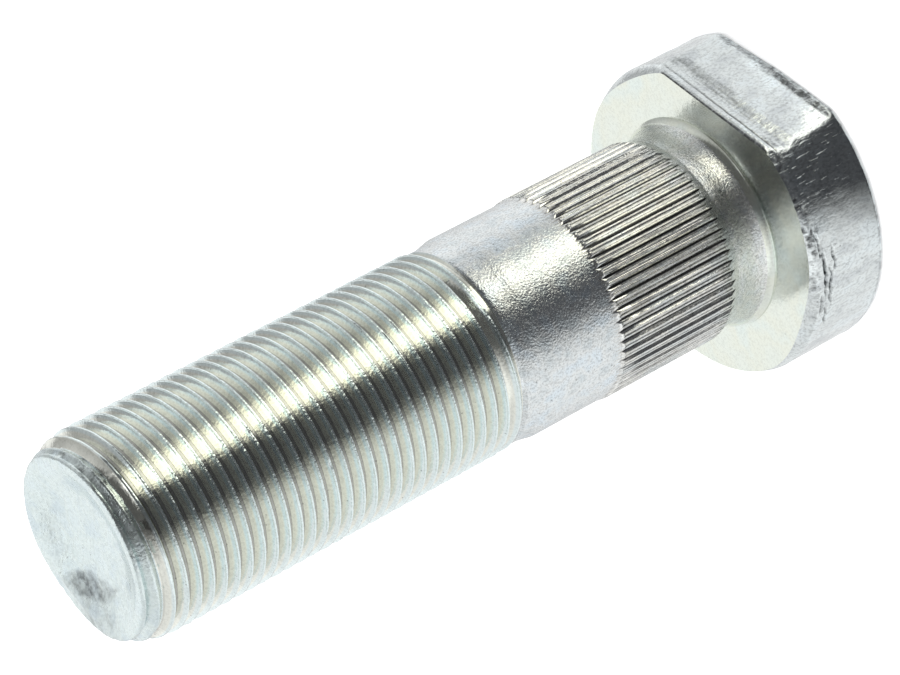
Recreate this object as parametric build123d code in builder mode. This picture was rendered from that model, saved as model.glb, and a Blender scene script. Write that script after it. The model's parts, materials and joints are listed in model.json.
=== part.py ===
from build123d import *
import os
from math import radians, tan

# Wheel stud of a truck or trailer hub, forged, turned and rolled from one piece of steel.
# It stands on its head: Z is the stud's axis, the threaded end points up,
# and the flat that stops the head from turning faces +X. All sizes are in millimetres.

# Head
head_diameter = 34.6
head_thickness = 9.8
head_edge_chamfer = 0.5
bearing_chamfer_width = 0.5
bearing_chamfer_height = 1.2

# Flat on one side of the head, with the trimmed lip beside the bearing face
flat_distance = 15.05
foot_flare = 0.3
foot_height = 1.1
lip_height = 0.5
lip_rise = 0.1
valley_height = 1.6
valley_depth = 0.2

# Neck between the head and the serrations, with a filleted collar on the bearing face
neck_diameter = 21.6
neck_length = 4.4
neck_fillet_radius = 0.95
collar_height = 0.15

# Serrations that bite into the hub
serration_diameter = 22.62
serration_length = 15.9
tooth_count = 60
groove_depth = 0.3
groove_angle = 90.0
groove_runout_length = 0.9
crest_chamfer_length = 0.8
crest_step_length = 0.3

# Plain shank, and the run-out that the thread stops in
shank_diameter = 22.24
shank_length = 9.0
runout_diameter = 21.5
runout_cone_length = 1.8
runout_length = 1.5

# Thread, as the cylinder over its crests, with a rounded lead and a dished end
thread_diameter = 22.0
thread_length = 45.6
thread_start_length = 0.4
lead_length = 4.6
tip_diameter = 19.0
rim_width = 0.6
rim_edge_radius = 0.5
dish_diameter = 10.3
dish_depth = 1.1

# Radii
head_radius = head_diameter / 2
neck_radius = neck_diameter / 2
collar_radius = neck_radius + neck_fillet_radius
crest_radius = serration_diameter / 2
root_radius = crest_radius - groove_depth
shank_radius = shank_diameter / 2
runout_radius = runout_diameter / 2
thread_radius = thread_diameter / 2
tip_radius = tip_diameter / 2

# Heights above the head's end face
bearing_z = head_thickness
collar_z = bearing_z + collar_height
serration_z = bearing_z + neck_length
shank_z = serration_z + serration_length
cone_z = shank_z + shank_length
runout_z = cone_z + runout_cone_length
thread_z = runout_z + runout_length
tip_z = thread_z + thread_length
lead_z = tip_z - lead_length

# Each groove is a vee with its root on the root radius, open past the crests,
# and rises out of the shank, or out of the crests where the shank is wider than these
groove_mouth_radius = crest_radius + groove_depth
groove_end_radius = min(shank_radius, crest_radius)
groove_full_z = shank_z - crest_step_length
groove_end_z = groove_full_z + groove_runout_length


def groove_corners(bottom_radius):
    half_width = (groove_mouth_radius - bottom_radius) * tan(radians(groove_angle / 2))
    return (bottom_radius, 0), (groove_mouth_radius, half_width), (groove_mouth_radius, -half_width)


# One groove: straight along the teeth, then rising out of the shank
with BuildPart() as groove:
    with BuildSketch(Plane.XY.offset(serration_z)):
        with BuildLine():
            Polyline(*groove_corners(root_radius), close=True)
        make_face()
    extrude(amount=groove_full_z - serration_z)
    with BuildSketch(Plane.XY.offset(groove_full_z)):
        with BuildLine():
            Polyline(*groove_corners(root_radius), close=True)
        make_face()
    with BuildSketch(Plane.XY.offset(groove_end_z)):
        with BuildLine():
            Polyline(*groove_corners(groove_end_radius), close=True)
        make_face()
    loft()

with BuildPart() as wheel_stud:
    # Turned form, from the head's end face up to the dish in the threaded end
    with BuildSketch(Plane.XZ):
        with BuildLine():
            Polyline(
                (0, 0),
                (head_radius, 0),
                (head_radius, bearing_z - bearing_chamfer_height),
                (head_radius - bearing_chamfer_width, bearing_z),
                (collar_radius, bearing_z),
                (collar_radius, collar_z),
            )
            TangentArc(
                (neck_radius, collar_z + neck_fillet_radius),
                (collar_radius, collar_z),
                tangent=(0, -1),
            )
            Polyline(
                (neck_radius, collar_z + neck_fillet_radius),
                (neck_radius, serration_z),
                (crest_radius, serration_z + crest_chamfer_length),
                (crest_radius, shank_z - crest_step_length),
                (shank_radius, shank_z),
                (shank_radius, cone_z),
                (runout_radius, runout_z),
                (runout_radius, thread_z),
                (thread_radius, thread_z + thread_start_length),
                (thread_radius, lead_z),
            )
            TangentArc((thread_radius, lead_z), (tip_radius, tip_z), tangent=(0, 1))
            Polyline(
                (tip_radius, tip_z),
                (tip_radius - rim_width, tip_z),
                (dish_diameter / 2, tip_z - dish_depth),
                (0, tip_z - dish_depth),
                (0, 0),
            )
        make_face()
    revolve(axis=Axis.Z)
    round_edges = wheel_stud.edges().filter_by(GeomType.CIRCLE).group_by(Axis.Z)
    chamfer(round_edges[0], head_edge_chamfer)
    fillet(round_edges[-1], rim_edge_radius)

    # Flat on the head: flared at the end face, with a shallow valley and a lip under the bearing face
    with BuildSketch(Plane.XZ):
        with BuildLine():
            Polyline(
                (flat_distance + foot_flare, 0),
                (flat_distance, foot_height),
                (flat_distance, bearing_z - lip_height - valley_height),
                (flat_distance - valley_depth, bearing_z - lip_height),
                (flat_distance + lip_rise, bearing_z),
                (head_diameter, bearing_z),
                (head_diameter, 0),
                close=True,
            )
        make_face()
    extrude(amount=head_radius, both=True, mode=Mode.SUBTRACT)

    # Serrations
    with PolarLocations(0, tooth_count):
        add(groove.part, mode=Mode.SUBTRACT)

os.makedirs("parts", exist_ok=True)
wheel_stud.part.label = "wheel_stud"
export_step(wheel_stud.part, "parts/wheel_stud.step")
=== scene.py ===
import json
from math import atan2, cos, degrees, hypot, pi, radians, sin, sqrt

import bmesh
import bpy
from mathutils import Matrix, Vector, noise


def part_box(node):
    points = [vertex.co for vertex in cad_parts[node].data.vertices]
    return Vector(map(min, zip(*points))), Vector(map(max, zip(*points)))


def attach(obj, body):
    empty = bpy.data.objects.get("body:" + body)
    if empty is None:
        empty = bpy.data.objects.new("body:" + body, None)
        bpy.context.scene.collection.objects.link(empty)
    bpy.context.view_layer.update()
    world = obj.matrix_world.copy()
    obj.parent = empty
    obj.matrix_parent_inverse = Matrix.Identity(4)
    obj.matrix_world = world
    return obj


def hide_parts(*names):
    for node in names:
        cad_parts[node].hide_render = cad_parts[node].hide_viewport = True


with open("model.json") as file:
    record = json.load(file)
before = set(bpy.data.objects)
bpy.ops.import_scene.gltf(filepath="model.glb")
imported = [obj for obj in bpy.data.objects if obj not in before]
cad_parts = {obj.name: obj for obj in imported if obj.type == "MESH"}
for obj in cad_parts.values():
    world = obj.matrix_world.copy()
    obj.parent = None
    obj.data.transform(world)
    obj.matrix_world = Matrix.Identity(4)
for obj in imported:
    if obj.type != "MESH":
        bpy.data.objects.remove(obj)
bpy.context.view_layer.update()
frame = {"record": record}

mm = 0.001
upAxis = (0, 0, 1)
origin = (0, 0, 0)

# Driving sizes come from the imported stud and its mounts, in millimetres
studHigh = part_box("wheel_stud")[1] / mm
mounts = {mount["name"]: mount for mount in frame["record"]["mounts"]}
mountZ = {name: mount["pos_m"][2] / mm for name, mount in mounts.items()}
mountDims = {name: mount["dims"] for name, mount in mounts.items()}
tipZ = studHigh.z
headRadius = studHigh.y
bearingZ = mountZ["bearing_face"]
toothRadius = mountDims["serrations"]["r_mm"]
toothLowZ = mountZ["serrations"] - mountDims["serrations"]["length_mm"] / 2
toothHighZ = mountZ["serrations"] + mountDims["serrations"]["length_mm"] / 2
threadRadius = mountDims["thread"]["r_mm"]
leadZ = mountZ["thread"] + mountDims["thread"]["length_mm"] / 2
print(f"frame: stud {tipZ:.1f} mm tall, thread radius {threadRadius:.2f} mm")


def mix(low, high, share):
    return low + (high - low) * min(1.0, max(0.0, share))


def smooth(share):
    share = min(1.0, max(0.0, share))
    return share * share * (3 - 2 * share)


def hump(value, centre, halfWidth):  # 1 at the centre, fading to 0 at half a width either side
    return smooth(1 - abs(value - centre) / halfWidth)


def turned(angle, centre):  # signed difference of two bearings, in degrees
    return (angle - centre + 180) % 360 - 180


def bearingOf(point):  # degrees round the axis from +X, the side of the flat
    return degrees(atan2(point.y, point.x))


def sector(bearing, centre, halfWidth):  # a hump round the axis, in degrees
    return hump(turned(bearing, centre), 0, halfWidth)


def noiseAt(x, y, z):  # smooth noise from -1 to 1
    return noise.noise(Vector((x, y, z)))


def grain(point, size, seed):  # the same, with a grain size in millimetres
    return noise.noise(point / size + Vector((seed, 0, 0)))


def setRadius(vert, radius):
    scale = radius / hypot(vert.co.x, vert.co.y)
    vert.co.x *= scale
    vert.co.y *= scale


def addLine(bm, points):  # a chain of edges through points of (radius, height)
    verts = [bm.verts.new((radius, 0, height)) for radius, height in points]
    return verts, [bm.edges.new(pair) for pair in zip(verts, verts[1:])]


def arcPoints(centre, radius, start, end, steps):  # angles in degrees, in the profile's plane
    angles = [radians(start + (end - start) * step / steps) for step in range(steps + 1)]
    return [(centre[0] + radius * cos(a), centre[1] + radius * sin(a)) for a in angles]


def spin(bm, geom, angle, steps, **options):  # round the stud's axis
    bmesh.ops.spin(bm, geom=geom, cent=origin, axis=upAxis, angle=angle, steps=steps, **options)


def spinLine(bm, points, steps):  # a closed ring
    verts, edges = addLine(bm, points)
    spin(bm, verts + edges, 2 * pi, steps, use_merge=True)


def turnTo(bm, verts, bearing):
    bmesh.ops.rotate(bm, verts=verts, cent=origin, matrix=Matrix.Rotation(radians(bearing), 3, "Z"))


def allOf(bm):
    return bm.verts[:] + bm.edges[:] + bm.faces[:]


def only(kind, items):
    return [item for item in items if isinstance(item, kind)]


def bridge(bm, lowZ, highZ):  # joins the two open rings between these heights
    rings = [e for e in bm.edges if e.is_boundary and all(lowZ < v.co.z < highZ for v in e.verts)]
    bmesh.ops.bridge_loops(bm, edges=rings)


# Head: a forged disc with an uneven bearing edge, gouged and torn in places
head = {
    "edgeRound": 0.5,          # rounding at the end face
    "endRows": (0, 5, 11),     # radii of the rows on the end face
    "rows": ((0.5, 1.7, 8), (1.7, 5.3, 10), (5.3, 8.7, 27)),   # from, to, steps up the side
    "chamferHeight": 1.1,      # from the bearing face down the side
    "chamferRows": 9,
    "chamferCurve": 1.6,       # 1 is a straight chamfer, and more is rounder
    "bearingRadius": 16.95,    # outer edge of the bearing face
    "edgeDents": ((-97, 34, 0.75), (48, 34, 0.55), (-37, 26, -0.4)),   # bearing, half width, depth
    "edgeRow": 0.15,           # the bearing face has a row this far inside its edge
    "innerRing": 14.2,         # the head's mesh ends at this ring on the bearing face
    # columns round the head: from, to, steps
    "columns": ((-26, 26, 76), (26, 38, 24), (38, 262, 120), (262, 322, 90), (322, 334, 24)),
    "forgeSize": 1.7,
    "forgeDepth": 0.05,
    # a gouge has bearing, half length in degrees, height and depth
    "gouges": ((-76, 15, 8.0, 0.45), (-82, 13, 7.3, 0.36), (-71, 9, 6.75, 0.26), (-88, 7, 8.45, 0.3),
               (-64, 11, 8.4, 0.24), (-94, 8, 7.75, 0.26)),
    "gougeWidth": 0.28,
    "gougeWander": 0.45,       # how far a gouge strays up and down
    "gougeUneven": 1.1,        # how much its depth varies
    "gougeDirtAndShade": 0.85,         # the most that dirt and painted shade darken it
    "tornEdge": (-60, 52, 0.16),   # the bearing edge is torn here: bearing, half width, depth
    "tornFade": 0.2,           # the tears end this far inside the edge
    # the most that the tears are darkened
    "tornDark": 0.8,
    "endDarkening": (0.25, 0.5),    # darker round the edge of the end face: how dark and how uneven
}
# Flat on the head: flared at its foot, with a grey valley and a trimmed lip beside the bearing face.
# A band is a height up the flat and a half width.
flat = {
    "turn": 1.5,               # the flat's own bearing
    # from the end face up: height, distance from the axis
    "section": ((0.0, 15.2), (0.1, 15.4), (0.25, 15.45), (1.15, 15.07), (1.4, 15.05), (5.2, 15.1),
                (6.0, 15.17), (7.0, 14.96), (7.6, 14.88), (8.0, 15.0), (8.55, 15.02), (8.68, 14.92),
                (8.82, 15.1), (9.3, 15.18), (9.7, 15.13), (9.8, 15.05)),
    "corner": 0.25,            # rounding where the flat meets the side
    "wander": ((6.8, 1.5, 0.8), (0.8, 0.8, 0.7)),   # bands whose lines stray up and down, and how far
    "streaks": (7.5, 1.2, 0.05),   # band, and the depth of its streaks
    "lip": (9.3, 0.7, 0.14),   # band, and how much higher it stands towards one end of the flat
    "lipEnd": (2, 8),          # it rises before this place along the flat, over this length
    "footDrop": 0.09,          # the flare sinks away towards the other end, per millimetre along the flat
    "footTop": (1.2, 0.9),     # and does so below this height, over this length
    "roughTop": 9.3,           # the flat is rough below this height
    "fine": (0.7, 0.018),      # size and depth of its roughness
    "coarse": (2.2, 0.03),
    # bands darkened on the flat: painted shade in the valley, beside the lip, along the bearing edge and at
    # the foot; dark specks on the ridge and at a corner
    "valley": (7.2, 1.3),
    "ridge": (6.0, 0.9),
    "lipLine": (8.68, 0.2),
    "lipLineEnd": (3.5, 3),                 # before this place along the flat, over this length
    "cornerPatch": (8.3, 0.8, -7.3, 1.5),   # also its place along the flat and half length
    "bearingLine": (9.55, 0.2),             # from this height, over this length
    "footLine": (1.2, 0.3),                 # below this height, over this length
}


def bearingEdge(bearing):
    dents = sum(depth * sector(bearing, at, wide) for at, wide, depth in head["edgeDents"])
    return min(headRadius - 0.05, head["bearingRadius"] - dents)


def raggedLine(across):   # how far the flat's lines wander up and down along it
    return 0.5 * noiseAt(across * 0.5, 0, 3) + 0.25 * noiseAt(across * 1.7, 0, 7)


def flatDistance(height, across):
    wander = raggedLine(across)
    shifted = height
    for at, wide, far in flat["wander"]:
        shifted += far * wander * hump(height, at, wide)
    at, wide, depth = flat["streaks"]
    streak = depth * noiseAt(across * 0.3, height * 3.5, 5.0) * hump(height, at, wide)
    at, wide, rise = flat["lip"]
    end, over = flat["lipEnd"]
    lip = rise * smooth((end - across) / over) * hump(height, at, wide)
    top, over = flat["footTop"]
    lip -= flat["footDrop"] * max(0.0, across) * smooth((top - height) / over)
    section = flat["section"]
    for (lowZ, low), (highZ, high) in zip(section, section[1:]):
        if shifted <= highZ:
            return mix(low, high, (shifted - lowZ) / (highZ - lowZ)) + streak + lip
    return section[-1][1] + lip


def flatShadeAndSpecks(height, across):   # painted shade: grey valley, dark lines beside the lip and along both edges of the flat; dark specks on the ridge and a patch at a corner
    wander = raggedLine(across)
    streak = noiseAt(across * 0.25, height * 3.0, 5.0)
    speck = noiseAt(across * 2.6, height * 2.6, 8.0)
    at, wide = flat["valley"]
    valley = (0.2 + 0.3 * streak + 0.2 * speck) * hump(height, at + 0.6 * wander, wide)
    at, wide = flat["ridge"]
    ridge = max(0.0, 0.4 * speck) * hump(height, at + wander, wide)
    at, wide = flat["lipLine"]
    end, over = flat["lipLineEnd"]
    lipLine = 0.8 * hump(height, at + 0.15 * wander, wide) * smooth((end - across) / over)
    at, wide, along, reach = flat["cornerPatch"]
    corner = max(0.0, 0.5 + speck) * hump(height, at, wide) * hump(across, along, reach)
    start, over = flat["bearingLine"]
    bearingLine = 0.95 * smooth((height - start) / over)
    top, over = flat["footLine"]
    foot = (0.5 + 0.6 * speck) * smooth((top + 1.2 * wander - height) / over)
    return max(valley, ridge, lipLine, corner, bearingLine, foot)


def buildHead(bm):
    # a layer for the dirt and painted shade that the finish darkens
    dirtAndShade = bm.verts.layers.float.new("dirtAndShade")
    edge = head["edgeRound"]
    chamferZ = bearingZ - head["chamferHeight"]
    rim = head["bearingRadius"]
    points = [(radius, 0) for radius in head["endRows"]]
    points += arcPoints((headRadius - edge, edge), edge, -90, 0, 4)
    for low, high, steps in head["rows"]:
        points += [(headRadius, mix(low, high, step / steps)) for step in range(1, steps + 1)]
    for step in range(1, head["chamferRows"] + 1):
        share = step / head["chamferRows"]
        points.append((mix(headRadius, rim, share ** head["chamferCurve"]), mix(chamferZ, bearingZ, share)))
    points += [(rim - head["edgeRow"], bearingZ), (head["innerRing"], bearingZ)]
    for start, end, steps in head["columns"]:
        verts, edges = addLine(bm, points)
        turnTo(bm, verts, start)
        spin(bm, verts + edges, radians(end - start), steps)
    bmesh.ops.remove_doubles(bm, verts=bm.verts, dist=0.001)
    normal = Vector((cos(radians(flat["turn"])), sin(radians(flat["turn"])), 0))
    for vert in bm.verts:
        point = vert.co.copy()
        radius = hypot(point.x, point.y)
        if radius < head["innerRing"] + 0.1:
            continue
        bearing = bearingOf(point)
        inset = 0.0
        if point.z > chamferZ + 0.01:   # the chamfer and the bearing edge follow the uneven rim
            share = (headRadius - radius) / (headRadius - rim)
            inset = max(0.0, rim - radius)
            at, wide, depth = head["tornEdge"]
            ragged = grain(point, 0.55, 7) + 0.5 * grain(point, 1.6, 2)
            torn = sector(bearing, at, wide) * max(0.0, ragged)
            plain = headRadius - share * (headRadius - bearingEdge(bearing))
            setRadius(vert, plain - depth * torn * (1 - inset / head["tornFade"]))
            vert[dirtAndShade] = min(head["tornDark"], 1.3 * torn) if inset < 0.1 else 0.0
        elif point.z > edge:
            forged = 0.5 * head["forgeDepth"] - head["forgeDepth"] * grain(point, head["forgeSize"], 5)
            cut = 0.0
            for at, wide, height, depth in head["gouges"]:
                line = height + head["gougeWander"] * noiseAt(bearing * 0.24, at, 0)
                torn = 1 + head["gougeUneven"] * noiseAt(bearing * 0.8, at, 4)
                cut += depth * torn * sector(bearing, at, wide) * hump(point.z, line, head["gougeWidth"])
            setRadius(vert, radius - forged - cut)
            # dirt and painted shade in the gouges
            vert[dirtAndShade] = min(head["gougeDirtAndShade"], max(0.0, 3.5 * cut - 0.15))
        else:   # the edge at the end face is darker all round
            dark, uneven = head["endDarkening"]
            vert[dirtAndShade] = max(0.0, dark + uneven * grain(point, 0.9, 4))
        across = vert.co.y * normal.x - vert.co.x * normal.y
        distance = flatDistance(point.z, across) - inset
        if point.z < flat["roughTop"]:
            fine, coarse = flat["fine"], flat["coarse"]
            distance += fine[1] * grain(point, fine[0], 9) + coarse[1] * grain(point, coarse[0], 3)
        past = vert.co.dot(normal) - distance
        # painted shade in the valley, beside the lip, along the bearing edge and at the foot of the flat
        if past > -0.1 and radius > rim - 0.2:
            vert[dirtAndShade] = max(0.0, flatShadeAndSpecks(point.z, across))
        corner = max(flat["corner"] - abs(past), 0) / flat["corner"]
        vert.co -= normal * (past - min(past, 0) + corner * corner * flat["corner"] / 4)


# Neck: a filleted collar on the bearing face, then plain up to the serrations
neck = {
    "radius": 10.8,
    "collarHeight": 0.15,
    "collarRadius": 11.75,
    "collarEdge": (0.03, 0.04),   # the collar's foot spreads by this much, up to this height
    "footAngle": 32,           # the fillet's slope at the collar
    "blendAngle": 70,          # the slope where its tight foot meets the long blend
    "blend": 5.5,              # radius of the blend
    "plainZ": 13.0,            # a row above the blend
    "faceRing": 12.6,          # the neck's mesh starts at this ring on the bearing face
    "columns": 270,
    "top": 0.35,               # how far below the serrations the neck's mesh ends
}


def buildNeck(bm):
    collar = neck["collarRadius"]
    collarZ = bearingZ + neck["collarHeight"]
    foot = radians(neck["footAngle"])
    meet = radians(neck["blendAngle"])
    meetTurn = 270 - degrees(meet)
    tight = (collar - neck["radius"] - neck["blend"] * (1 - sin(meet))) / (sin(meet) - sin(foot))
    tightZ = collarZ + tight * cos(foot)
    blendZ = tightZ + (neck["blend"] - tight) * cos(meet)
    spread, spreadZ = neck["collarEdge"]
    points = [(neck["faceRing"], bearingZ), (collar + spread, bearingZ), (collar, bearingZ + spreadZ)]
    points += arcPoints((collar + tight * sin(foot), tightZ), tight, 270 - degrees(foot), meetTurn, 8)
    points += arcPoints((neck["radius"] + neck["blend"], blendZ), neck["blend"], meetTurn, 180, 8)[1:]
    points += [(neck["radius"], height) for height in (neck["plainZ"], toothLowZ - neck["top"])]
    spinLine(bm, points, neck["columns"])


# Serrations: rolled grooves that rise to a point in the shank, and a fine line along each rounded crest
teeth = {
    "count": 60,
    "phase": 1.9,              # bearing of the first groove, in degrees
    "depth": 0.34,
    # degrees from the middle of the groove, and the share of the depth
    "section": ((0.1, 1.0), (1.2, 0.1), (1.6, 0.03), (2.15, 0.0), (2.5, 0.04), (3.0, 0.2)),
    "cone": 1.2,               # the teeth rise from the neck over this length
    "coneGap": 0.06,           # the first row lies this far below the cone
    "rows": 7,
    "stepFrom": (0.5, 0.15),   # crests step down to the shank this far below their top, grooves further
    "stepTo": (0.05, 0.3),     # and end this far below it, grooves before their run-out
    "stepRows": 3,
    "runout": 0.9,             # length in which a groove rises out of the shank
}


def coneZ(radius):   # height of the cone from which the teeth rise
    return toothLowZ + teeth["cone"] * (radius - neck["radius"]) / (toothRadius - neck["radius"])


def toothSection():   # (degrees from the groove's middle, radius) over one pitch
    pitch = 360 / teeth["count"]
    half = [(angle, toothRadius - teeth["depth"] * share) for angle, share in teeth["section"]]
    mirrored = [(pitch - angle, radius) for angle, radius in reversed(half[:-1])]
    return half + mirrored + [(pitch + half[0][0], half[0][1])]


def addToothRow(bm, edges, angles, radii, heights):   # extrudes the last row, then moves it to its place
    made = bmesh.ops.extrude_edge_only(bm, edges=edges)["geom"]
    verts = sorted(only(bmesh.types.BMVert, made), key=lambda vert: bearingOf(vert.co))
    for vert, angle, radius, height in zip(verts, angles, radii, heights):
        vert.co = (radius * cos(radians(angle)), radius * sin(radians(angle)), height)
    return only(bmesh.types.BMEdge, made)


def buildTeeth(bm):
    angles, radii = zip(*toothSection())
    foot = neck["radius"]
    footZ = toothLowZ - teeth["coneGap"]
    first = [bm.verts.new((foot * cos(radians(a)), foot * sin(radians(a)), footZ)) for a in angles]
    edges = [bm.edges.new(pair) for pair in zip(first, first[1:])]
    startZ = [coneZ(radius) for radius in radii]
    depths = [(toothRadius - radius) / teeth["depth"] for radius in radii]
    crestGap, grooveGap = teeth["stepFrom"]
    endZ = [toothHighZ - crestGap - grooveGap * depth for depth in depths]
    for row in range(teeth["rows"] + 1):
        heights = [mix(start, end, row / teeth["rows"]) for start, end in zip(startZ, endZ)]
        edges = addToothRow(bm, edges, angles, radii, heights)
    crestGap, grooveGap = teeth["stepTo"]
    runoutZ = toothHighZ - grooveGap + teeth["runout"]
    lastZ = [mix(toothHighZ - crestGap, runoutZ, depth) for depth in depths]
    for row in range(1, teeth["stepRows"] + 1):
        share = row / teeth["stepRows"]
        bent = [share if depth > 0.5 else share * share for depth in depths]
        narrowed = [mix(radius, shank["radius"], rise) for radius, rise in zip(radii, bent)]
        heights = [mix(end, last, share) for end, last in zip(endZ, lastZ)]
        edges = addToothRow(bm, edges, angles, narrowed, heights)
    turnTo(bm, bm.verts[:], teeth["phase"])
    spin(bm, allOf(bm), 2 * pi, teeth["count"], use_duplicate=True)
    bmesh.ops.remove_doubles(bm, verts=bm.verts, dist=0.002)


# Plain shank, the cone below the thread and the run-out that the thread stops in
shank = {
    "radius": 11.12,
    "lowGap": 1.0,             # the shank's mesh starts this far above the teeth
    "coneZ": 39.1,
    "coneRows": (0.1, 0.5, 1),
    "runoutZ": 40.9,
    "runoutRadius": 10.75,
    "threadZ": 42.4,
    "topGap": 0.4,             # and ends this far below the thread
    "columns": 180,
    "rows": 16,
}


def buildShank(bm):
    lowZ = toothHighZ + shank["lowGap"]
    shares = [row / shank["rows"] for row in range(shank["rows"] + 1)]
    points = [(shank["radius"], mix(lowZ, shank["coneZ"], share)) for share in shares]
    for share in shank["coneRows"]:
        radius = mix(shank["radius"], shank["runoutRadius"], share)
        points.append((radius, mix(shank["coneZ"], shank["runoutZ"], share)))
    points.append((shank["runoutRadius"], shank["threadZ"] - shank["topGap"]))
    spinLine(bm, points, shank["columns"])


# Thread: rolled, right-handed, with a rounded lead at the tip and a fading root at the shank
thread = {
    "pitch": 1.5,
    "crestZ": 79.461,          # height of one crest at bearing 0
    "columns": 128,
    "section": ((-0.75, 0.93), (-0.64, 0.92), (-0.165, 0.103), (-0.14, 0.06), (-0.08, 0.0),
                (0.08, 0.0), (0.14, 0.06), (0.165, 0.103), (0.64, 0.92)),   # along the axis, depth
    "leadRadius": 7.8,
    "topZ": 87.5,
    "startLength": 0.9,        # the crests rise to full height in this length
    "fadeZ": 44.4,             # the root is at full depth above this height
    "nickSize": 0.7,           # crests are nicked from handling, most of all on the lead
    "nickDepth": 0.12,
    "nickFrom": 0.15,          # more is fewer nicks
    "nickReach": 0.2,          # and they reach this far down from the crests
    "leadNicks": (1, 2),       # deeper from this far up the lead, over this length
    "leadGroove": 0.6,         # grooves run on over the lead at this depth
    "leadEnd": (87.75, 0.7),   # and end at this height, fading over this length
    "matteFrom": 86.2,         # the last turn is worn as matte as the end, from this height at bearing 0
    "dirtyLead": (2, 48),      # bearing and half width of the dirty side of the lead
}


def leadRadius(height):
    rise = max(0.0, height - leadZ)
    return threadRadius - thread["leadRadius"] + sqrt(thread["leadRadius"] ** 2 - rise * rise)


def buildThread(bm):
    pitch = thread["pitch"]
    lowZ = shank["threadZ"]
    below = int((thread["crestZ"] - lowZ + pitch / 2) / pitch) + 1
    startZ = thread["crestZ"] - pitch * below
    section = [(threadRadius - depth, startZ + along) for along, depth in thread["section"]]
    section += [(section[0][0], section[0][1] + pitch)]
    verts, edges = addLine(bm, section)
    steps = thread["columns"]
    spin(bm, verts + edges, 2 * pi, steps, dvec=(0, 0, pitch / steps))
    turns = 1
    while startZ + turns * pitch < thread["topZ"] + pitch:   # doubled until the thread is long enough
        copies = bmesh.ops.duplicate(bm, geom=allOf(bm))["geom"]
        bmesh.ops.translate(bm, verts=only(bmesh.types.BMVert, copies), vec=(0, 0, turns * pitch))
        turns *= 2
    bmesh.ops.remove_doubles(bm, verts=bm.verts, dist=0.004)
    for height, outer in ((lowZ, False), (thread["topZ"], True)):
        bmesh.ops.bisect_plane(bm, geom=allOf(bm), dist=0.0005, plane_co=(0, 0, height), plane_no=upAxis,
                               clear_outer=outer, clear_inner=not outer)
    deepest = max(depth for along, depth in thread["section"])
    dirtAndShade = bm.verts.layers.float.new("dirtAndShade")
    at, wide = thread["dirtyLead"]
    reach = thread["nickReach"]
    nickStart, nickOver = thread["leadNicks"]
    leadEnd, leadFade = thread["leadEnd"]
    for vert in bm.verts:
        height = vert.co.z
        torn = grain(vert.co, 0.6, 3) + 0.5 * grain(vert.co, 1.7, 6)
        vert[dirtAndShade] = max(0.0, 0.2 + torn) * sector(bearingOf(vert.co), at, wide)
        above = height - lowZ
        start = mix(shank["runoutRadius"], threadRadius, above / thread["startLength"])
        root = mix(shank["runoutRadius"], threadRadius - deepest, above / (thread["fadeZ"] - lowZ))
        radius = hypot(vert.co.x, vert.co.y)
        depth = (threadRadius - radius) / deepest
        crest = smooth((radius - threadRadius + reach) / reach)
        nick = thread["nickDepth"] * max(0.0, grain(vert.co, thread["nickSize"], 11) - thread["nickFrom"])
        nick *= 1 + smooth((height - leadZ - nickStart) / nickOver)
        groove = thread["leadGroove"] * smooth((leadEnd - height) / leadFade)
        lead = leadRadius(height) - depth * groove - nick
        setRadius(vert, min(max(radius - nick * crest, root), start, lead))


# End of the thread: a soft rim round a shallow dish, worn down at one side and scuffed there
tip = {
    "rim": ((9.78, 87.62), (9.73, 87.78), (9.63, 87.9), (9.45, 87.97), (9.2, 88.0), (8.85, 87.98),
            (8.5, 87.88)),           # radius, height
    "rimNicks": (8.6, 0.12, 0.35),   # from this radius: depth, and how much more where it is worn
    "dishRows": (8.1, 7.7, 7.3, 6.9, 6.5, 6.1, 5.75, 5.45, 5.2, 4.95, 4.6, 4.1, 3.4, 2.4, 1.2, 0),
    "dishRadius": 5.35,
    "dishDepth": 1.1,
    "dishShift": (0.25, -0.2),       # the dish sits a little off the axis
    "dishRound": 0.15,               # 0 is a straight cone, 1 is rounded at both ends
    "worn": (165, 50, 0.8),          # bearing, half width, share of the rim's height that is gone
    "wornFrom": (7.8, 1.2),          # outside this radius, over this width
    "scuff": (-5.5, -0.3),           # middle of the scuffed patch
    "scuffTurn": 119,                # bearing of its long direction
    "scuffSize": (4.8, 1.9, 0.05),   # half length, half width and depth
    "scuffFade": 2.2,                # more is a sharper edge
    "scuffDirt": (0.54, 0.55),       # how dark and how uneven
    "scuffEnd": (9.2, 0.8),          # it fades out at this radius, over this width
    "streakTurn": 60,                # bearing of the streaks in it
    "crease": (222, 34, 0.6),        # painted shade at the foot of the dish: bearing, half width, strength
    "creaseRing": (4.9, 0.4),        # its radius and half width
    "grey": (192, 46, 0.3, 0.4),     # grey side: bearing, half width, how dark and how uneven
    "greyFrom": (5.5, 2),            # outside this radius, over this width
    "columns": 160,
}


def turnedBack(x, y, bearing):   # along and across that bearing
    turn = radians(bearing)
    return x * cos(turn) + y * sin(turn), y * cos(turn) - x * sin(turn)


def scuffShare(point):   # 1 in the middle of the scuff and 0 outside it, and how torn it is there
    middle = tip["scuff"]
    along, aside = turnedBack(point.x - middle[0], point.y - middle[1], tip["scuffTurn"])
    streakAlong, streakAside = turnedBack(point.x, point.y, tip["streakTurn"])
    torn = noiseAt(streakAlong * 0.2, streakAside * 1.2, 8.0) + 0.3 * grain(point, 0.9, 2)
    away = hypot(along / tip["scuffSize"][0], aside / tip["scuffSize"][1])
    return smooth(tip["scuffFade"] - away * tip["scuffFade"]), torn


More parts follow.
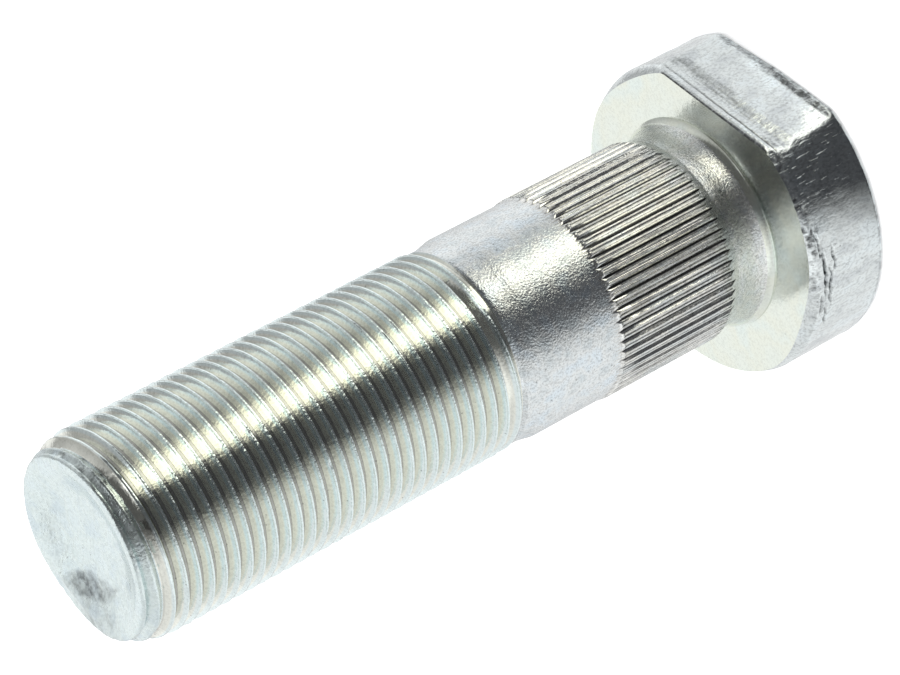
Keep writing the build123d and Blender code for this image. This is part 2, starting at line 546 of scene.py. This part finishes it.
def dishHeight(point):
    fromMiddle = hypot(point.x - tip["dishShift"][0], point.y - tip["dishShift"][1])
    edge = tip["rim"][-1]
    share = (edge[0] - fromMiddle) / (edge[0] - tip["dishRadius"])
    flare = (1 - tip["dishRound"]) * mix(0, 1, share) + tip["dishRound"] * smooth(share)
    return mix(edge[1], tipZ - tip["dishDepth"], flare) + 0.03 * grain(point, 1.3, 4)


def buildTip(bm):
    edge = tip["rim"][-1]
    points = list(tip["rim"]) + [(radius, edge[1]) for radius in tip["dishRows"]]
    spinLine(bm, points, tip["columns"])
    lowZ = thread["topZ"]
    dirtAndShade = bm.verts.layers.float.new("dirtAndShade")
    for vert in bm.verts:
        point = vert.co.copy()
        bearing = bearingOf(point)
        radius = hypot(point.x, point.y)
        if radius < edge[0] - 0.05:
            vert.co.z = dishHeight(point)
        at, wide, gone = tip["worn"]
        start, over = tip["wornFrom"]
        wear = gone * sector(bearing, at, wide) * smooth((radius - start) / over)
        vert.co.z -= wear * max(0.0, vert.co.z - lowZ - 0.1)
        start, depth, more = tip["rimNicks"]
        if radius > start:
            setRadius(vert, radius - max(0.0, grain(point, 0.8, 6)) * (depth + more * wear))
        scuff, torn = scuffShare(point)
        end, over = tip["scuffEnd"]
        vert.co.z -= tip["scuffSize"][2] * scuff * (0.7 + torn) * smooth((end - radius) / over)
        dark, uneven = tip["scuffDirt"]
        scuffed = scuff * (dark + uneven * torn)
        at, wide, dark = tip["crease"]
        crease = dark * hump(radius, *tip["creaseRing"]) * sector(bearing, at, wide)
        at, wide, dark, uneven = tip["grey"]
        start, over = tip["greyFrom"]
        grey = (dark + uneven * torn) * sector(bearing, at, wide) * smooth((radius - start) / over)
        # the scuff, painted shade at the foot of the dish, and the grey side
        vert[dirtAndShade] = max(0.0, scuffed, crease, grey)


def addZone(bm, build):   # each zone is made in a mesh of its own, then joins the stud
    zone = bmesh.new()
    build(zone)
    part = bpy.data.meshes.new(build.__name__)
    zone.to_mesh(part)
    zone.free()
    bm.from_mesh(part)
    bpy.data.meshes.remove(part)
    print(build.__name__, len(bm.verts), "vertices so far")


# The whole stud: its zones joined, and a finish for each
whole = {
    "sharpAngle": 38,          # edges bent by more degrees than this aren't smoothed over
    "faceTop": 0.5,            # the turned finish reaches this far above the collar
    "teethTop": 0.35,          # and the rolled one this far above the teeth
}


def finishOf(centre):
    zones = ((bearingZ - 0.02, "forgedHead"),
             (bearingZ + neck["collarHeight"] + whole["faceTop"], "turnedFace"),
             (toothLowZ - 0.02, "forgedNeck"), (toothHighZ + whole["teethTop"], "rolledTeeth"),
             (shank["threadZ"], "drawnShank"), (tipZ + 1, "rolledThread"))
    radius = hypot(centre.x, centre.y)
    if centre.z - thread["pitch"] * bearingOf(centre) / 360 > thread["matteFrom"]:
        return "formedEnd"
    if radius < tip["rim"][2][0] and centre.z > leadZ:
        return "formedEnd"
    zone = next(finish for top, finish in zones if centre.z < top)
    if zone == "rolledTeeth" and centre.z < coneZ(radius) + 0.02:
        return "forgedNeck"
    return zone


def buildStud():
    bm = bmesh.new()
    for build in (buildHead, buildNeck, buildTeeth, buildShank, buildThread, buildTip):
        addZone(bm, build)
    # the bearing face, round the collar
    openEdges = [edge for edge in bm.edges if edge.is_boundary]
    faceEdges = [e for e in openEdges if all(abs(v.co.z - bearingZ) < 0.01 for v in e.verts)]
    bmesh.ops.triangle_fill(bm, edges=faceEdges, use_beauty=True, normal=upAxis)
    # each band of heights holds the open rings of two neighbours
    bridge(bm, toothLowZ - 0.5, toothLowZ - 0.05)
    bridge(bm, toothHighZ - 0.2, toothHighZ + 1.05)
    bridge(bm, shank["threadZ"] - 0.5, shank["threadZ"] + 0.05)
    bridge(bm, thread["topZ"] - 0.05, tip["rim"][0][1] + 0.01)
    bmesh.ops.remove_doubles(bm, verts=bm.verts, dist=0.001)
    bmesh.ops.dissolve_degenerate(bm, edges=bm.edges, dist=0.0005)
    bmesh.ops.recalc_face_normals(bm, faces=bm.faces)
    bmesh.ops.scale(bm, vec=(mm, mm, mm), verts=bm.verts)
    order = list(finishes)
    for face in bm.faces:
        face.smooth = True
        face.material_index = order.index(finishOf(face.calc_center_median() / mm))
    openCount = sum(1 for edge in bm.edges if not edge.is_manifold)
    print("stud:", len(bm.faces), "faces,", openCount, "open edges")
    mesh = bpy.data.meshes.new("wheelStud")
    bm.to_mesh(mesh)
    bm.free()
    mesh.set_sharp_from_angle(angle=radians(whole["sharpAngle"]))
    stud = bpy.data.objects.new("wheelStud", mesh)
    bpy.context.collection.objects.link(stud)
    return stud


def linearColour(hexText):
    channels = [int(hexText[i:i + 2], 16) / 255 for i in (1, 3, 5)]
    return [c / 12.92 if c <= 0.04045 else ((c + 0.055) / 1.055) ** 2.4 for c in channels] + [1.0]


def addNode(tree, kind, settings=None, links=None):
    node = tree.nodes.new(kind)
    for name, value in (settings or {}).items():
        if isinstance(name, int) or name in node.inputs:
            node.inputs[name].default_value = value
        else:
            setattr(node, name, value)
    for name, source in (links or {}).items():
        tree.links.new(source, node.inputs[name])
    return node


def remap(tree, value, start, end, low=0.0, high=1.0):   # start to end becomes low to high
    settings = {"From Min": start, "From Max": end, "To Min": low, "To Max": high}
    return addNode(tree, "ShaderNodeMapRange", settings, {"Value": value}).outputs[0]


def multiply(tree, first, second):
    return addNode(tree, "ShaderNodeMath", {"operation": "MULTIPLY"}, {0: first, 1: second}).outputs[0]


def newMaterial(name):
    material = bpy.data.materials.new(name)
    material.use_nodes = True
    material.node_tree.nodes.clear()
    return material, material.node_tree


# Zinc plate takes the surface of the steel under it, so each way the steel was worked has a finish of
# its own: bluish silver with a fine matte grain, and mirror-like where the steel was rolled or turned.
# A pattern has its size in millimetres and its stretch along the axis; bumps and radii are millimetres too.
# Pits have spacing, size and the share of places that have one, and shade darkens the hollows of the grain.
# Grooves have the radii of their bottom and crests, and the heights over which the dirt and painted shade
# in them end.
finishes = {
    "forgedHead": {
        "tints": ("#E4ECEE", "#E0E6E6", "#D2D8DA"), "roughness": (0.14, 0.26), "shade": 0.22,
        "patchyDirtAndShade": ("grain", 0.7, 1.2),   # the pattern that breaks up the dirt and painted shade, and its least and most
        "patterns": {"tint": (2.2, 0.6), "gloss": (0.8, 0.5), "grain": (0.25, 0.6), "dents": (0.7, 0.2),
                     "wear": (0.18, 0.09)},
        "bumps": {"grain": 0.035, "dents": 0.06, "wear": 0.05}, "wearFrom": (0.66, 0.74),
        "pits": (0.9, 0.13, 0.35),
    },
    "turnedFace": {
        "tints": ("#E1E7DF", "#E2E6DB", "#DEE7E2"), "roughness": (0.12, 0.19), "shade": 0.08,
        "patterns": {"tint": (5.0, 1), "gloss": (1.2, 1), "grain": (0.3, 1), "dents": (2.2, 1)},
        "bumps": {"grain": 0.012, "dents": 0.03}, "pits": (1.3, 0.09, 0.35),
    },
    "forgedNeck": {
        "tints": ("#E2E7E8", "#E4E6E3", "#D8DDDE"), "roughness": (0.2, 0.3), "shade": 0.3,
        "patterns": {"tint": (2.0, 1), "gloss": (0.8, 1), "grain": (0.22, 1), "dents": (0.8, 1)},
        "bumps": {"grain": 0.038, "dents": 0.04}, "pits": (0.7, 0.13, 0.4),
    },
    "rolledTeeth": {
        "tints": ("#E6EAEA", "#E8E8E4", "#DCE0E0"), "roughness": (0.1, 0.2), "shade": 0.25,
        "patterns": {"tint": (1.8, 0.4), "gloss": (0.7, 0.5), "grain": (0.24, 0.6), "dents": (0.8, 0.3),
                     "wear": (0.3, 0.5), "streaks": (0.26, 0.02)},
        "bumps": {"grain": 0.02, "dents": 0.02, "wear": 0.06, "streaks": 0.14}, "pits": (1.1, 0.12, 0.3),
        "grooves": {"bottom": (11.0, 11.14), "dark": 0.97, "plainFrom": (40.0, 41.0),
                    "crest": (11.26, 11.3), "rough": 0.15},
    },
    "drawnShank": {
        "tints": ("#D8E2E8", "#DFE3E3", "#D0D8DB"), "roughness": (0.15, 0.24), "shade": 0.25,
        "patterns": {"tint": (2.4, 1), "gloss": (0.8, 1), "grain": (0.22, 1), "dents": (0.9, 1)},
        "bumps": {"grain": 0.065, "dents": 0.045}, "pits": (0.8, 0.14, 0.5),
    },
    "rolledThread": {
        "tints": ("#E4E6DE", "#E8EAE1", "#E1ECEC"), "roughness": (0.09, 0.17), "shade": 0.1,
        "patterns": {"tint": (4.0, 1), "gloss": (1.0, 1), "grain": (0.3, 1), "dents": (1.2, 1),
                     "wear": (0.32, 1)},
        "bumps": {"grain": 0.014, "dents": 0.012, "wear": 0.07}, "pits": (0.9, 0.12, 0.35),
        "grooves": {"bottom": (10.06, 10.15), "dark": 0.6, "plainFrom": (85.0, 86.0),
                    "crest": (10.9, 10.98), "tinted": (10.0, 11.1)},
    },
    "formedEnd": {
        "tints": ("#DAE6E8", "#DCE7E6", "#D2DFE3"), "roughness": (0.22, 0.34), "shade": 0.12,
        "patchyDirtAndShade": ("dents", 0.7, 1.15),
        "patterns": {"tint": (2.6, 1), "gloss": (1.0, 1), "grain": (0.3, 1), "dents": (0.6, 1)},
        "bumps": {"grain": 0.03, "dents": 0.04}, "pits": (1.2, 0.12, 0.3),
    },
}
# Shared by all finishes: ranges are the part of a pattern's values that takes effect
plate = {
    # the colour that painted shade, dirt and pits darken towards
    "shadeAndDirtColour": "#3A3B3D",
    "detail": 3.0,
    "tintAt": (0.35, 0.5, 0.65),
    "shadeRange": (0.36, 0.54),
    "patchRange": (0.35, 0.6),
    "glossRange": (0.3, 0.7),
    "pitDark": 0.8,
}


def zincPlate(name, finish):
    material, tree = newMaterial("zincPlate." + name)
    place = addNode(tree, "ShaderNodeTexCoord").outputs["Object"]
    fields = {}
    for use, (size, stretch) in finish["patterns"].items():
        drawn = addNode(tree, "ShaderNodeMapping", {"Scale": (1, 1, stretch)}, {"Vector": place})
        pattern = {"Scale": 1 / (size * mm), "Detail": plate["detail"]}
        fields[use] = addNode(tree, "ShaderNodeTexNoise", pattern, {"Vector": drawn.outputs[0]}).outputs[0]
    ramp = addNode(tree, "ShaderNodeValToRGB", links={"Fac": fields["tint"]})
    ramp.color_ramp.elements.new(0.5)
    for element, position, colour in zip(ramp.color_ramp.elements, plate["tintAt"], finish["tints"]):
        element.position = position
        element.color = linearColour(colour)
    pale = remap(tree, fields["grain"], *plate["shadeRange"], finish["shade"], 0.0)
    spacing, pitSize, share = finish["pits"]
    cells = addNode(tree, "ShaderNodeTexVoronoi", {"Scale": 1 / (spacing * mm)}, {"Vector": place})
    near = remap(tree, cells.outputs["Distance"], pitSize / spacing, 0.0, 0.0, plate["pitDark"])
    chosen = addNode(tree, "ShaderNodeMath", {"operation": "LESS_THAN", 1: share},
                     {0: cells.outputs["Color"]})
    darkening = [pale, multiply(tree, near, chosen.outputs[0])]
    if "wearFrom" in finish:   # only the tops of this pattern stand out, as short scratches
        fields["wear"] = remap(tree, fields["wear"], *finish["wearFrom"])
    if "patchyDirtAndShade" in finish:   # dirt and painted shade in the gouges and along the edges, as the mesh holds it
        held = addNode(tree, "ShaderNodeAttribute", {"attribute_name": "dirtAndShade"})
        use, low, high = finish["patchyDirtAndShade"]
        patchy = remap(tree, fields[use], *plate["patchRange"], high, low)
        dirtAndShade = addNode(tree, "ShaderNodeMath", {"operation": "MULTIPLY", "use_clamp": True},
                       {0: held.outputs["Fac"], 1: patchy})
        darkening.append(dirtAndShade.outputs[0])
    grooves = finish.get("grooves", {})
    if grooves:   # dirt and painted shade at the bottom of the grooves, and nicked along the crests
        level = addNode(tree, "ShaderNodeVectorMath", {"operation": "MULTIPLY", 1: (1, 1, 0)}, {0: place})
        length = addNode(tree, "ShaderNodeVectorMath", {"operation": "LENGTH"}, {0: level.outputs[0]})
        radius = length.outputs["Value"]
        height = addNode(tree, "ShaderNodeSeparateXYZ", links={0: place}).outputs["Z"]
        low, high = grooves["bottom"]
        deep = remap(tree, radius, high * mm, low * mm, 0.0, grooves["dark"])
        low, high = grooves["plainFrom"]
        below = remap(tree, height, high * mm, low * mm)
        darkening.append(multiply(tree, deep, below))
        low, high = grooves["crest"]
        crest = remap(tree, radius, low * mm, high * mm)
        for use in ("wear", "streaks"):   # only on the crests
            if use in fields:
                fields[use] = multiply(tree, crest, fields[use])
    if "tinted" in grooves:   # the plate's tint changes from root to crest
        low, high = grooves["tinted"]
        tree.links.new(remap(tree, radius, low * mm, high * mm), ramp.inputs["Fac"])
    colour = ramp.outputs[0]
    for amount in darkening:
        shaded = addNode(tree, "ShaderNodeMix", {"data_type": "RGBA", 7: linearColour(plate["shadeAndDirtColour"])},
                         {0: amount, 6: colour})
        colour = shaded.outputs[2]
    roughness = remap(tree, fields["gloss"], *plate["glossRange"], *finish["roughness"])
    if "rough" in grooves:   # crests are duller than the flanks between them
        duller = addNode(tree, "ShaderNodeMath", {"operation": "MULTIPLY_ADD", 1: grooves["rough"]},
                         {0: crest, 2: roughness})
        roughness = duller.outputs[0]
    shader = addNode(tree, "ShaderNodeBsdfPrincipled", {"Metallic": 1.0},
                     {"Base Color": colour, "Roughness": roughness})
    last = shader.inputs["Normal"]
    for use, depth in finish["bumps"].items():
        bump = addNode(tree, "ShaderNodeBump", {"Distance": depth * mm}, {"Height": fields[use]})
        tree.links.new(bump.outputs[0], last)
        last = bump.inputs["Normal"]
    addNode(tree, "ShaderNodeOutputMaterial", links={"Surface": shader.outputs[0]})
    return material


stud = buildStud()
for name, finish in finishes.items():
    stud.data.materials.append(zincPlate(name, finish))
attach(stud, "root")
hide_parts("wheel_stud")
print("finishes:", len(stud.data.materials), "zinc plate materials")

# Studio: a white tent with a dark gap where the camera stands, brightest just right of the gap.
# Stripes are (how far to the right, brightness), overhead and in front of the stud.
studio = {
    "eye": (278.832, -213.956, 237.845),   # the camera, in millimetres
    "floorColour": "#D8D9DA",
    "floorRoughness": 0.85,
    "floorShine": 0.1,
    "floorGlow": 0.45,                     # lit from below as well, so shadows on it stay pale
    "floorSize": 4.0,                      # metres either side of the stud
    "backdrop": "#FAFBFB",
    "backWall": 1.1,
    "wallFrom": (-0.14, -0.06),            # how far behind the stud the plain back wall starts
    "wallSpread": 1.5,                     # and how much further back it starts at the sides
    "frontFrom": (0.05, 0.25),             # how far before it the overhead stripes give way
    "overhead": ((-1.0, 0.8), (-0.85, 0.9), (-0.4, 0.95), (-0.3, 0.6), (-0.22, 0.04), (0.1, 0.02),
                 (0.15, 1.7), (0.32, 1.7), (0.38, 0.7), (0.44, 0.35), (0.62, 0.5), (0.9, 0.75),
                 (1.0, 0.68)),
    "front": ((-1.0, 1.25), (-0.75, 1.15), (-0.5, 0.6), (-0.25, 0.12), (0.12, 0.1), (0.9, 0.15),
              (1.0, 0.3)),
    "strength": 3.0,                       # the level that a ramp's white stands for
    "warmth": (0.03, 0.14),                # what a warmth of 1 adds to red and takes from blue
    "fill": 3.0,
    "fillAngle": 60,
    "ringHeight": 0.2,                     # of the reflectors below, in millimetres
    "ringColumns": 64,
}
# Two rings on the floor round the stud, seen only in its reflections: the near one in the head, the far
# one above it. Each has inner and outer radius, and stops: degrees left of the camera, brightness, warmth.
reflectors = {
    "near": ((17.4, 34.0), ((-180, 0.75, 0), (-110, 0.85, 0), (-75, 0.95, 0), (-34, 0.95, 0), (-28, 1.0, 0),
                            (-24, 1.8, 0.5), (-17, 1.8, 0.5), (-14, 0.3, 0), (-11, 0.07, -0.5),
                            (14, 0.07, -0.5), (19, 0.2, 0), (25, 0.45, 0), (32, 0.8, 0), (40, 0.97, 0),
                            (60, 0.97, 0), (105, 0.92, 0), (130, 0.78, 0), (180, 0.75, 0))),
    "far": ((34.0, 3900.0), ((-180, 0.72, 0), (-156, 0.75, 0), (-132, 0.97, 0), (-112, 1.2, 0),
                             (-90, 1.0, 0), (-78, 0.8, 0), (-68, 0.5, 0), (-55, 0.65, 0.3), (-46, 2.1, 1),
                             (-28, 2.3, 1), (-22, 0.45, 0), (-17, 0.1, -0.5), (22, 0.1, -0.5),
                             (32, 0.35, 0), (42, 0.75, 0), (54, 1.03, 0), (90, 1.08, 0), (120, 1.0, 0),
                             (144, 0.82, 0), (180, 0.72, 0))),
}
toCamera = Vector((studio["eye"][0], studio["eye"][1], 0)).normalized()
toRight = Vector(upAxis).cross(toCamera)


def addObject(name, bm, material):
    mesh = bpy.data.meshes.new(name)
    bm.to_mesh(mesh)
    bm.free()
    mesh.materials.append(material)
    made = bpy.data.objects.new(name, mesh)
    bpy.context.collection.objects.link(made)
    return made


def buildFloor():
    material, tree = newMaterial("paintedFloor")
    paint = {"Base Color": linearColour(studio["floorColour"]), "Roughness": studio["floorRoughness"],
             "Specular IOR Level": studio["floorShine"], "Emission Color": (1, 1, 1, 1),
             "Emission Strength": studio["floorGlow"]}
    shader = addNode(tree, "ShaderNodeBsdfPrincipled", paint)
    addNode(tree, "ShaderNodeOutputMaterial", links={"Surface": shader.outputs[0]})
    bm = bmesh.new()
    bmesh.ops.create_grid(bm, x_segments=1, y_segments=1, size=studio["floorSize"])
    addObject("floor", bm, material)


def setStops(ramp, stops):   # stops of (position, brightness, warmth), in order
    red, blue = studio["warmth"]
    while len(ramp.color_ramp.elements) < len(stops):
        ramp.color_ramp.elements.new(1.0)
    for element, (position, level, warmth) in zip(ramp.color_ramp.elements, stops):
        tones = (1 + red * warmth, 1, 1 - blue * warmth)
        element.position = position
        element.color = [level * tone / studio["strength"] for tone in tones] + [1.0]


def buildReflector(name, reach, stops):
    material, tree = newMaterial("reflector." + name)
    place = addNode(tree, "ShaderNodeTexCoord").outputs["Object"]
    gradient = addNode(tree, "ShaderNodeTexGradient", {"gradient_type": "RADIAL"}, {"Vector": place})
    ramp = addNode(tree, "ShaderNodeValToRGB", links={"Fac": gradient.outputs["Fac"]})
    facing = bearingOf(toCamera)
    around = [(turned(facing - left, 0) / 360 + 0.5, level, warmth) for left, level, warmth in stops]
    setStops(ramp, sorted(around))
    shader = addNode(tree, "ShaderNodeEmission", {"Strength": studio["strength"]},
                     {"Color": ramp.outputs[0]})
    addNode(tree, "ShaderNodeOutputMaterial", links={"Surface": shader.outputs[0]})
    bm = bmesh.new()
    spinLine(bm, [(radius, studio["ringHeight"]) for radius in reach], studio["ringColumns"])
    bmesh.ops.scale(bm, vec=(mm, mm, mm), verts=bm.verts)
    made = addObject("reflector." + name, bm, material)
    for ray in ("camera", "diffuse", "transmission", "volume_scatter", "shadow"):   # seen in the metal only
        setattr(made, "visible_" + ray, False)


def buildWorld():
    world = bpy.data.worlds.new("studio")
    world.use_nodes = True
    tree = world.node_tree
    tree.nodes.clear()
    direction = addNode(tree, "ShaderNodeTexCoord").outputs["Generated"]
    side = addNode(tree, "ShaderNodeVectorMath", {"operation": "DOT_PRODUCT", 1: toRight}, {0: direction})
    front = addNode(tree, "ShaderNodeVectorMath", {"operation": "DOT_PRODUCT", 1: toCamera}, {0: direction})
    share = remap(tree, side.outputs["Value"], -1.0, 1.0)
    ramps = {}
    for part in ("overhead", "front"):
        ramps[part] = addNode(tree, "ShaderNodeValToRGB", links={"Fac": share})
        setStops(ramps[part], [((at + 1) / 2, level, 0) for at, level in studio[part]])
    forward = remap(tree, front.outputs["Value"], *studio["frontFrom"])
    sides = addNode(tree, "ShaderNodeMix", {"data_type": "RGBA"},
                    {0: forward, 6: ramps["overhead"].outputs[0], 7: ramps["front"].outputs[0]})
    aside = addNode(tree, "ShaderNodeMath", {"operation": "ABSOLUTE"}, {0: side.outputs["Value"]})
    behind = addNode(tree, "ShaderNodeMath", {"operation": "MULTIPLY_ADD", 1: studio["wallSpread"]},
                     {0: aside.outputs[0], 2: front.outputs["Value"]})
    ahead = remap(tree, behind.outputs[0], *studio["wallFrom"])
    wall = [studio["backWall"] / studio["strength"]] * 3 + [1.0]
    tent = addNode(tree, "ShaderNodeMix", {"data_type": "RGBA", 6: wall}, {0: ahead, 7: sides.outputs[2]})
    plain = [channel / studio["strength"] for channel in linearColour(studio["backdrop"])[:3]] + [1.0]
    seen = addNode(tree, "ShaderNodeLightPath").outputs["Is Camera Ray"]
    shown = addNode(tree, "ShaderNodeMix", {"data_type": "RGBA", 7: plain}, {0: seen, 6: tent.outputs[2]})
    light = addNode(tree, "ShaderNodeBackground", {"Strength": studio["strength"]},
                    {"Color": shown.outputs[2]})
    addNode(tree, "ShaderNodeOutputWorld", links={"Surface": light.outputs[0]})
    bpy.context.scene.world = world


buildFloor()
for name, (reach, stops) in reflectors.items():
    buildReflector(name, reach, stops)
buildWorld()
fill = bpy.data.lights.new("fill", "SUN")   # lifts the floor to white, and isn't mirrored in the metal
fill.energy = studio["fill"]
fill.angle = radians(studio["fillAngle"])
fillObject = bpy.data.objects.new("fill", fill)
fillObject.visible_glossy = False
bpy.context.collection.objects.link(fillObject)
bpy.context.scene.view_settings.view_transform = "Standard"
print("studio: floor, reflectors, tent and fill light")

# Camera, placed as the photograph's was against the standing stud
view = {
    "right": (0.05448, -0.63238, -0.77274),   # where the picture's right side and top point
    "up": (0.72082, 0.56044, -0.40782),
    "focalPixels": 4034.65,
    "imageWidth": 900,
    "sensor": 36.0,
}
camera = bpy.data.cameras.new("photoCamera")
camera.sensor_fit = "HORIZONTAL"
camera.sensor_width = view["sensor"]
camera.lens = view["focalPixels"] * view["sensor"] / view["imageWidth"]
right = Vector(view["right"]).normalized()
up = Vector(view["up"]).normalized()
cameraTurn = Matrix((right, up, right.cross(up))).transposed().to_4x4()
cameraObject = bpy.data.objects.new("photoCamera", camera)
cameraObject.matrix_world = Matrix.Translation(Vector(studio["eye"]) * mm) @ cameraTurn
bpy.context.collection.objects.link(cameraObject)
bpy.context.scene.camera = cameraObject
print(f"camera: lens {camera.lens:.1f} mm")
